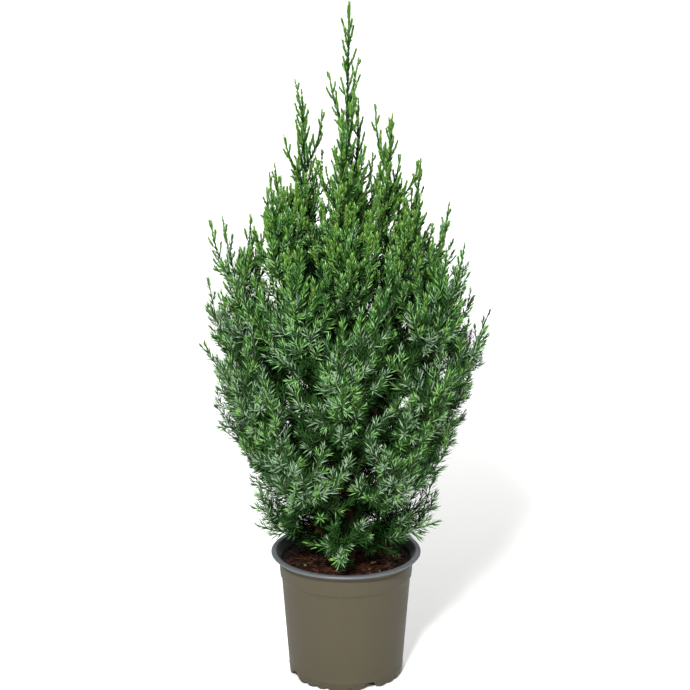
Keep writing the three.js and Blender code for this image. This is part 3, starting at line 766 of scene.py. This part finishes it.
def side_bough_lines(rng):
    """Curves that leave their limb, bend towards their tip and end leaning out, and the stem of each."""
    tips, turn = plume_tips(rng)
    limb_points = np.concatenate([stem_lines[:, :CARRY_LAST].reshape(-1, 3), trunk_line])
    limb_ways = unit(np.concatenate([
        np.gradient(stem_lines, axis=1)[:, :CARRY_LAST].reshape(-1, 3), np.gradient(trunk_line, axis=0),
    ]))
    lean = np.radians(by_height(LEANS, tips[:, 2]) + LEAN_JITTER * rng.normal(0, 1, PLUMES))
    turn = turn + np.radians(WAY_JITTER) * rng.normal(0, 1, PLUMES)
    end = swung(np.sin(lean), np.cos(lean), turn)
    carrier = best_carriers(tips, end, limb_points, limb_ways)
    root = limb_points[carrier]
    reach = np.linalg.norm(tips - root, axis=-1, keepdims=True)
    leave = unit(limb_ways[carrier] + (tips - root) / reach)
    handles = (root, root + leave * reach * (1 - END_HANDLE) / 2, tips - end * reach * END_HANDLE, tips)
    lines = bezier(handles, np.linspace(0, 1, STEM_POINTS))
    # one that grows from the trunk counts with the stem that it ends nearest to
    leafy = stem_lines[None, :, LEAFY_FROM::LEAFY_STEP]
    nearest = np.linalg.norm(tips[:, None, None] - leafy, axis=-1).min(-1).argmin(1)
    on_trunk = carrier >= len(stems) * CARRY_LAST
    return lines, np.where(on_trunk, nearest, carrier // CARRY_LAST)


def wood_piece(name, lines, radius, taper, sides, finish):
    """A piece of tubes along lines, all of one thickness and tapering to a share of it."""
    rings = lines.shape[1]
    radii = np.full((len(lines), 1), radius) * np.linspace(1, taper, rings)
    return make_piece(name, *joined(tubes(lines, radii, sides), tube_faces(rings, sides)), [finish])


side_lines, side_stem = side_bough_lines(twig_rng)
side_inner = np.arange(PLUMES) >= OUTER_PLUMES
side_length = line_length(side_lines)
side_thin = thinned(side_lines, SIDE_RINGS)
side_boughs = wood_piece("side_boughs_wood", side_thin, SIDE_RADIUS, SIDE_TAPER, SIDE_SIDES, young_wood)
foliage_nodes = [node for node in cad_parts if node.startswith("foliage_")]
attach(side_boughs, "root")
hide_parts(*foliage_nodes)


# Twigs. Leafy sprays that open from boughs and side boughs and turn up at their ends, like plumes,
# with finer shoots in two ranks on them: wide and loose low down, steep and slim towards the top.
SPRAY_FIRST, SPRAY_LAST = 0.03, 0.97
SPRAY_GAP, SPRAY_LEAVE = (12.5, 9.0), (34.0, 29.0)     # pairs are for open and for pressed foliage
SPRAY_LIFT, SPRAY_SHORTENS = (0.4, 0.5), (1, 0.78)     # how far they turn up, share of the tier's length
SPRAY_ON_SIDE, SPRAY_JITTER, SPRAY_TURN_JITTER = 0.62, 0.22, 40.0
SIDE_BARE = 0.04         # share of a side bough that has no sprays
SPRAY_TAPER, SPRAY_LEAST = 0.35, 6.0     # length for each mm from the tip, and at the tip
SHOOT_FIRST, SHOOT_LAST, SHOOT_GAP = 0.12, 0.8, (19.0, 14.0)
SHOOT_LEAVE, SHOOT_LIFT = (38.0, 28.0), 0.3
SHOOT_TAPER, SHOOT_MORE, SHOOT_LEAST = 0.5, 3.0, 11.0
SHOOT_JITTER, SHOOT_TURN_JITTER = 0.25, 35.0
PLACE_JITTER = (0.1, 0.8)                # where offshoots stand in their stretch of the line
LINE_END, OFFSHOOT_END = 0.9999, 0.99    # the furthest share of a line, and the furthest with an offshoot
STEEP = 0.9              # a direction's upward part past which turns round it start from another side
SPRAY_POINTS, SHOOT_POINTS = 4, 3
SPRAY_RADIUS, SHOOT_RADIUS, TWIG_TAPER, TWIG_SIDES = 0.8, 0.6, 0.45, 3
SPRAY_GREEN, SHOOT_GREEN = (0.033, 0.072, 0.017), (0.050, 0.095, 0.026)
GOLDEN = 137.5                           # degrees
CLOSED_FROM, CLOSED_TO = 430.0, 650.0    # heights between which the foliage turns from open to pressed
CLOSED_JITTER = 28.0
POT_CLEAR, LIP_CLEAR = 5.0, 6.0


def along(lines, which, share):
    """The points and directions at shares of some of the lines."""
    at = np.clip(share, 0, LINE_END) * (lines.shape[1] - 1)
    step = at.astype(int)
    near, far = lines[which, step], lines[which, step + 1]
    return between(near, far, (at - step)[:, None]), unit(far - near)


def sideways(way, turn):
    """Directions square to others, turned round them by so many degrees."""
    reference = np.where(np.abs(way[:, 2:]) > STEEP, np.array([[1.0, 0, 0]]), UP[None])
    across = unit(np.cross(way, reference))
    other = np.cross(way, across)
    angle = np.radians(turn)[:, None]
    return across * np.cos(angle) + other * np.sin(angle)


def grown(lines, which, share, turn, leave, lift, length, points):
    """Offshoots that leave lines at an angle in degrees and bend up, as lines of points."""
    root, way = along(lines, which, share)
    tilt = np.radians(leave)[:, None]
    start = way * np.cos(tilt) + sideways(way, turn) * np.sin(tilt)
    finish = unit(between(start, UP, lift))
    bend = root + start * (length / 2)[:, None]
    return curve_lines(root, bend, bend + finish * (length / 2)[:, None], points)


def ranked(length, gap, first, last, rng):
    """Which line each offshoot stands on, its place among them, and its share of the line."""
    count = np.maximum(1, (length * (last - first) / gap + rng.uniform(0, 1, len(length))).astype(int))
    which = np.repeat(np.arange(len(length)), count)
    order = np.arange(len(which)) - np.repeat(np.cumsum(count) - count, count)
    share = first + (last - first) * (order + rng.uniform(*PLACE_JITTER, len(which))) / count[which]
    return which, order, np.clip(share, 0, OFFSHOOT_END)


def clear_of_pot(points):
    """Whether points are over the soil or above the rim."""
    radius = np.hypot(points[..., 0], points[..., 1])
    floor = np.where(radius < LIP_INNER - LIP_CLEAR, SOIL_TOP, LIP_TOP)
    return points[..., 2] > floor + POT_CLEAR


def closing(points, rng):
    """How pressed the foliage is at points, by height, from 0 to 1."""
    height = points[:, 2] + rng.normal(0, CLOSED_JITTER, len(points))
    return eased(np.clip((height - CLOSED_FROM) / (CLOSED_TO - CLOSED_FROM), 0, 1))


axis_lines = np.concatenate([stem_lines, side_lines])
axis_stem = np.concatenate([np.arange(len(stems)), side_stem])
axis_length = np.concatenate([stem_length, side_length])
axis_bare = np.concatenate([stem_bare, np.full(PLUMES, SIDE_BARE)])
axis_inner = np.concatenate([np.zeros(len(stems), bool), side_inner])
axis_spray = np.concatenate([stem_spray, SPRAY_ON_SIDE * stem_spray[side_stem]])

axis_gap = between(*SPRAY_GAP, closing(axis_lines[:, STEM_POINTS // 2], twig_rng))
spray_axis, spray_order, spray_share = ranked(axis_length, axis_gap, SPRAY_FIRST, SPRAY_LAST, twig_rng)
spray_at = between(axis_bare[spray_axis], 1, spray_share)
spray_closed = closing(along(axis_lines, spray_axis, spray_at)[0], twig_rng)
spray_turn = GOLDEN * spray_order + SPRAY_TURN_JITTER * twig_rng.uniform(-1, 1, len(spray_axis))
spray_length = SPRAY_LEAST + SPRAY_TAPER * axis_length[spray_axis] * (1 - spray_at)
spray_length = np.minimum(spray_length, axis_spray[spray_axis] * between(*SPRAY_SHORTENS, spray_closed))
spray_length = spray_length * (1 + SPRAY_JITTER * twig_rng.uniform(-1, 1, len(spray_axis)))
spray_leave = between(*SPRAY_LEAVE, spray_closed)
spray_lift = between(*SPRAY_LIFT, spray_closed)[:, None]
spray_lines = grown(
    axis_lines, spray_axis, spray_at, spray_turn, spray_leave, spray_lift, spray_length, SPRAY_POINTS,
)
kept = clear_of_pot(spray_lines[:, 2:]).all(1)
spray_lines, spray_axis, spray_length, spray_closed = (
    values[kept] for values in (spray_lines, spray_axis, spray_length, spray_closed)
)

spray_gap = between(*SHOOT_GAP, spray_closed)
shoot_spray, shoot_order, shoot_share = ranked(spray_length, spray_gap, SHOOT_FIRST, SHOOT_LAST, twig_rng)
rank_turn = twig_rng.uniform(0, 360, len(spray_lines))[shoot_spray]
shoot_turn = rank_turn + 180 * shoot_order + SHOOT_TURN_JITTER * twig_rng.uniform(-1, 1, len(shoot_spray))
shoot_length = SHOOT_MORE + SHOOT_TAPER * spray_length[shoot_spray] * (1 - shoot_share)
shoot_length = shoot_length * (1 + SHOOT_JITTER * twig_rng.uniform(-1, 1, len(shoot_spray)))
shoot_leave = between(*SHOOT_LEAVE, spray_closed[shoot_spray])
shoot_lines = grown(
    spray_lines, shoot_spray, shoot_share, shoot_turn, shoot_leave, SHOOT_LIFT, shoot_length, SHOOT_POINTS,
)
kept = clear_of_pot(shoot_lines[:, 2:]).all(1) & (shoot_length > SHOOT_LEAST)
shoot_lines, shoot_spray, shoot_length = shoot_lines[kept], shoot_spray[kept], shoot_length[kept]

spray_wood = Finish("spray_wood", Base_Color=SPRAY_GREEN, Roughness=0.75, Specular_IOR_Level=0.2)
shoot_green = Finish("shoot_green", Base_Color=SHOOT_GREEN, Roughness=0.6)
for name, lines, radius, finish in (
    ("spray_twigs", spray_lines, SPRAY_RADIUS, spray_wood),
    ("green_shoots", shoot_lines, SHOOT_RADIUS, shoot_green),
):
    twigs = wood_piece(name, lines, radius, TWIG_TAPER, TWIG_SIDES, finish)
    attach(twigs, "root")
    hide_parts(*foliage_nodes)


# Needles. Awl-shaped leaves in whorls of three that clothe every twig: long, spreading and pale with
# bloom on their upper faces low down, short and pressed to the twig towards the top, and yellow-green
# where they are new. Those deep in the crown and far back from a twig's tip have painted shade.
OPEN, OPEN_TIP, OPEN_JITTER = (54.0, 31.0), (12.0, 20.0), 4.0     # degrees, paired as for sprays
OPENING = (7.0, 18.0)    # how far from its tip a twig's needles have mostly opened
LONG, LONG_JITTER, TIP_SHORTER = (14.5, 8.2), (0.85, 1.12), 0.3
WIDE, TIP_NARROWER = (1.75, 2.4), 0.25
WHORL, WHORL_TURN_JITTER = 3, 10.0
WHORL_STEP, WHORL_TIP, WHORL_FIRST = (4.5, 3.1), 2.0, 0.5
WHORL_SPARE = 1.6        # open whorls are placed on so far past the longest twig, as pressed ones are closer
INNER_SPARSER = 1.5      # whorls on inner plumes are so many times further apart
AXIS_RADIUS, ROOT_AT = 1.3, 0.5          # a needle's root is at that share of its twig's radius
AXIS_BARE, SPRAY_BARE, SHOOT_BARE = 0.04, 0.1, 0.05      # shares without needles
NEEDLE_BELLY, NEEDLE_THICK, NEEDLE_CURVE = 0.4, 0.14, 0.08
INNER_CLOSED = 0.5       # inner plumes get painted shade where the foliage is less pressed than this
SHADED_FROM, SHADED_TO = 0.68, 0.9       # share of the crown's reach inside which open foliage gets painted shade
DARK_FROM = 0.8          # share of that inside which the painted shade is deep
TINY = 0.01              # keeps a divisor off zero
# from a twig's tip to where painted shade stands for the twigs that shade it, nearest and furthest
BEHIND = np.array([[-25.0, 75.0], [8.0, 60.0]])[..., None]
DEAD_BELOW, DEAD_WITHIN, DEAD_SHARE = 330.0, 0.55, 0.2
TRUNK_DEAD_WITHIN, TRUNK_DEAD_CLOSED, TRUNK_DEAD_SHARE = 0.35, 0.3, 0.05
BRIGHT_SHARE = (0.15, 0.4)               # of plumes
BLUE_LOW, BLUE_TO = 0.75, 0.6            # share that are blue low down, and how pressed the last of them are
# how much of a twig's end is new, and the chance of it
FRESH_AXIS, FRESH_SPRAY, FRESH_SHOOT = (18.0, 1.0), (11.0, 0.7), (7.0, 0.4)
FRESH_LOW, FRESH_JITTER = 0.45, (0.75, 1.2)
FRESH_FROM, FRESH_SLOPE = 0.4, 3.0       # share of the crown's reach where new growth starts
YELLOW_FROM = 0.66       # new growth is yellow where the foliage is more pressed than this
BRIGHT_AGE = 2.4         # behind yellow growth the needles are bright, out to so many times its length
TONES = {
    # name: outer face, upper face, sheen
    "new_growth": ((0.070, 0.166, 0.020), (0.180, 0.345, 0.070), 0.12),
    "bright_green": ((0.042, 0.126, 0.016), (0.225, 0.450, 0.126), 0.12),
    "rich_green": ((0.025, 0.104, 0.015), (0.242, 0.458, 0.178), 0.12),
    "blue_green": ((0.020, 0.070, 0.018), (0.268, 0.402, 0.242), 0.12),
    # painted shade: dark tones with little sheen that stand in for the shadow of the foliage around
    "painted_shade_green": ((0.006, 0.032, 0.004), (0.030, 0.088, 0.020), 0.05),
    "painted_deep_shade_green": ((0.0015, 0.008, 0.001), (0.008, 0.026, 0.005), 0.04),
    "dead_brown": ((0.060, 0.024, 0.010), (0.088, 0.036, 0.015), 0.10),
}
NEW, BRIGHT, RICH, BLUE, PAINTED_SHADE, PAINTED_DEEP_SHADE, DEAD = range(len(TONES))
PLUME_ALIKE = 0.75       # share of a plume's twigs that have its tone
OUTER_ROUGHNESS, UPPER_ROUGHNESS = 0.36, 0.45
NEEDLE_FACES = np.array([(0, 2, 1), (1, 2, 3), (0, 1, 3), (0, 3, 2)])     # of root, two sides and tip
UPPER_FACES = np.array([1, 1, 0, 0])
needle_rng = np.random.default_rng(41)


def whorl_places(most, step, opening):
    """Distances of whorls from a twig's tip: close together at first, then a step apart."""
    places = [WHORL_FIRST]
    while places[-1] < most:
        places.append(places[-1] + between(step, WHORL_TIP, math.exp(-places[-1] / opening)))
    return np.array(places)


def outwards(points):
    """How far out in the crown points are, from 0 at the trunk to about 1 at its outline."""
    return np.hypot(points[:, 0], points[:, 1]) / crown_reach(points[:, 2])


def clothed(lines, length, radius, closed, sparser, tone, first, fresh, rng):
    """Needles in whorls along twigs: their corners and each needle's tone, painted shade included, and twig.
    """
    most = length.max() * WHORL_SPARE
    low, high = (whorl_places(most, *row) for row in zip(WHORL_STEP, OPENING))
    ranks = min(len(low), len(high))
    # how much of the twig is left past each whorl
    left = sparser[:, None] * between(low[:ranks], high[:ranks], closed[:, None])
    which, order = np.nonzero(left < (length * (1 - first))[:, None])
    which, order, left = (np.repeat(values, WHORL) for values in (which, order, left[which, order]))
    total = len(which)
    turn = 360 / WHORL * (np.arange(total) % WHORL) + 180 / WHORL * order
    turn = turn + rng.uniform(-WHORL_TURN_JITTER, WHORL_TURN_JITTER, total)
    point, way = along(lines, which, 1 - left / length[which])
    out = sideways(way, turn)
    pressed = closed[which]
    young = np.exp(-left / between(*OPENING, pressed))
    loose = between(*OPEN, pressed) + rng.normal(0, OPEN_JITTER, total)
    angle = np.radians(between(loose, between(*OPEN_TIP, pressed), young))
    long = between(*LONG, pressed) * (1 - TIP_SHORTER * young) * rng.uniform(*LONG_JITTER, total)
    ahead = way * np.cos(angle)[:, None] + out * np.sin(angle)[:, None]
    over = way * np.sin(angle)[:, None] - out * np.cos(angle)[:, None]
    wide = between(*WIDE, pressed) * (1 - TIP_NARROWER * young)
    half = np.cross(way, out) * (wide / 2)[:, None]
    root = point + out * (ROOT_AT * radius)
    tip = root + ahead * long[:, None] + over * (NEEDLE_CURVE * long)[:, None]
    # the sides lie over the keel, which runs from root to tip
    belly = between(root, tip, NEEDLE_BELLY) + over * (NEEDLE_THICK * wide)[:, None]
    age = left / np.maximum(TINY, fresh[which] * rng.uniform(*FRESH_JITTER, total))
    yellow = pressed > YELLOW_FROM
    shade = np.where((age < BRIGHT_AGE) & yellow & (tone[which] < PAINTED_SHADE), BRIGHT, tone[which])
    shade = np.where(age < 1, np.where(yellow, NEW, BRIGHT), shade)
    # needles deep in the crown or far back from their twig's tip get painted shade, and the deepest a painted
    # deep shade
    shaded = (rng.uniform(SHADED_FROM, SHADED_TO, len(lines)) * (1 - closed))[which]
    depth = outwards(point) / np.maximum(TINY, shaded)
    behind = left > rng.uniform(*between(*BEHIND, pressed))
    shade = np.where(((depth < 1) | behind) & (shade < PAINTED_SHADE), PAINTED_SHADE, shade)
    shade = np.where((depth < DARK_FROM) & (shade < PAINTED_DEEP_SHADE), PAINTED_DEEP_SHADE, shade)
    return np.stack([root, belly + half, belly - half, tip], 1), shade, which


def dealt_tone(closed, out, luck):
    """A tone for each twig: bluer low down, brighter high up, and here and there dead by the trunk."""
    tone = np.where(luck > 1 - between(*BRIGHT_SHARE, closed), BRIGHT, RICH)
    tone = np.where(luck < BLUE_LOW * (1 - closed / BLUE_TO), BLUE, tone)
    dead = (out < TRUNK_DEAD_WITHIN) & (closed < TRUNK_DEAD_CLOSED) & (luck < TRUNK_DEAD_SHARE)
    return np.where(dead, DEAD, tone)


def freshness(most, chance, out, closed, rng):
    """How much of each twig's end is new growth: none well inside the crown, and oftenest high up."""
    grows = rng.uniform(0, 1, len(out)) < chance * between(FRESH_LOW, 1, closed)
    return most * grows * np.clip((out - FRESH_FROM) * FRESH_SLOPE + closed, 0, 1)


axis_order = np.arange(len(axis_lines))
kinds = (
    # lines, axis of each, length, radius, share without needles, new growth
    (axis_lines, axis_order, axis_length, AXIS_RADIUS, axis_bare + AXIS_BARE, FRESH_AXIS),
    (spray_lines, spray_axis, spray_length, SPRAY_RADIUS, SPRAY_BARE, FRESH_SPRAY),
    (shoot_lines, spray_axis[shoot_spray], shoot_length, SHOOT_RADIUS, SHOOT_BARE, FRESH_SHOOT),
)
plume_luck = needle_rng.uniform(0, 1, len(axis_lines))
corners, tones, owners = [], [], []
for lines, axis, length, radius, first, fresh in kinds:
    tips = lines[:, -1]
    closed, out = closing(tips, needle_rng), outwards(tips)
    inner = axis_inner[axis] & (closed < INNER_CLOSED)
    alone = needle_rng.uniform(0, 1, len(lines)) > PLUME_ALIKE
    luck = np.where(alone, needle_rng.uniform(0, 1, len(lines)), plume_luck[axis])
    # open foliage on inner plumes gets painted shade in place of a tone of its own
    tone = np.where(inner, PAINTED_SHADE, dealt_tone(closed, out, luck))
    dead = inner & (tips[:, 2] < DEAD_BELOW) & (out < DEAD_WITHIN)
    tone = np.where(dead & (needle_rng.uniform(0, 1, len(lines)) < DEAD_SHARE), DEAD, tone)
    new = freshness(*fresh, out, closed, needle_rng) * ~inner
    sparser = np.where(axis_inner[axis], INNER_SPARSER, 1.0)
    shapes, needle_tone, which = clothed(lines, length, radius, closed, sparser, tone, first, new, needle_rng)
    corners.append(shapes)
    tones.append(needle_tone)
    owners.append(axis_stem[axis[which]])
corners, tones, owners = np.concatenate(corners), np.concatenate(tones), np.concatenate(owners)
kept = clear_of_pot(corners[:, 3]) & clear_of_pot(corners[:, 0])
corners, tones, owners = corners[kept], tones[kept], owners[kept]
needle_finishes = [
    Finish(f"{tone}_{face}", Base_Color=colour, Roughness=roughness, Specular_IOR_Level=sheen)
    for tone, (outer, upper, sheen) in TONES.items()
    for face, colour, roughness in (("outer", outer, OUTER_ROUGHNESS), ("bloom", upper, UPPER_ROUGHNESS))
]
tier_of = np.array([name.split("_")[0] for name in stem_names])
for tier in dict.fromkeys(tier_of):
    members = np.flatnonzero(tier_of == tier)
    chosen = np.isin(owners, members)
    place, triangles = joined(corners[chosen], NEEDLE_FACES)
    worn = (2 * tones[chosen][:, None] + UPPER_FACES).ravel()
    needles = make_piece(f"needles_{tier}", place, triangles, needle_finishes, worn, smooth=False)
    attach(needles, "root")
    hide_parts(*[f"foliage_{stem_names[i]}" for i in members])


# Floor. A plain pale studio floor that takes the plant's soft shadow, wide enough to fill the view
# behind it.
FLOOR_HALF = 9000.0
PALE = (0.93, 0.93, 0.92)
floor_points = FLOOR_HALF * np.array([(-1, -1, 0), (1, -1, 0), (1, 1, 0), (-1, 1, 0)], float)
paper = Finish("pale_floor", Base_Color=PALE, Roughness=0.9, Specular_IOR_Level=0.1)
floor = make_piece("studio_floor", floor_points, np.array([(0, 1, 2), (0, 2, 3)]), [paper], smooth=False)


# Light. A soft lamp in front above, a little to the left, a weak wide one low at the right to open the
# shadows, and a broad one over the floor behind the plant, in a dim and evenly lit room.
ROOM_LIGHT = 0.12


def soft_box(name, place, target, size, power, spread=180):
    """A round lamp that faces a point. Its places are in metres, its spread in degrees."""
    lamp = bpy.data.lights.new(name, "AREA")
    lamp.shape, lamp.size, lamp.energy = "DISK", size, power
    lamp.spread = math.radians(spread)
    stand = bpy.data.objects.new(name, lamp)
    stand.location = place
    way = np.array(target) - np.array(place)
    turn = math.atan2(way[1], way[0]) - math.pi / 2
    stand.rotation_euler = (math.atan2(math.hypot(way[0], way[1]), -way[2]), 0, turn)
    bpy.context.scene.collection.objects.link(stand)


soft_box("key_light", place=(-0.6, -2.9, 2.6), target=(0, 0, 0.45), size=0.6, power=228)
soft_box("fill_light", place=(1.6, -2.8, 1.3), target=(0, 0, 0.4), size=1.2, power=22)
soft_box("floor_light", place=(0, 4.2, 4.6), target=(0, 4.2, 0), size=5.0, power=290, spread=120)
world = bpy.data.worlds.new("pale_room")
world.use_nodes = True
world.node_tree.nodes["Background"].inputs["Color"].default_value = (1.0, 1.0, 1.0, 1.0)
world.node_tree.nodes["Background"].inputs["Strength"].default_value = ROOM_LIGHT
bpy.context.scene.world = world
bpy.context.scene.view_settings.view_transform = "Standard"


# Camera. At the photograph's angle: a long lens a little above the crown, looking down at the pot,
# whose axis is a pixel right of the picture's middle.
CAMERA_BACK, CAMERA_HEIGHT, CAMERA_PITCH = 2.8, 1.27, 16.6
FRAME_PIXELS, LENS_PIXELS, AXIS_PIXEL = 690, 2359, 346     # picture's width, focal length, pot's axis
lens = bpy.data.cameras.new("camera")
lens.sensor_width = 36.0
lens.lens = lens.sensor_width * LENS_PIXELS / FRAME_PIXELS
lens.shift_x = (FRAME_PIXELS / 2 - AXIS_PIXEL) / FRAME_PIXELS
camera = bpy.data.objects.new("camera", lens)
camera.location = (0, -CAMERA_BACK, CAMERA_HEIGHT)
camera.rotation_euler = (math.radians(90 - CAMERA_PITCH), 0, 0)
bpy.context.scene.collection.objects.link(camera)
bpy.context.scene.camera = camera
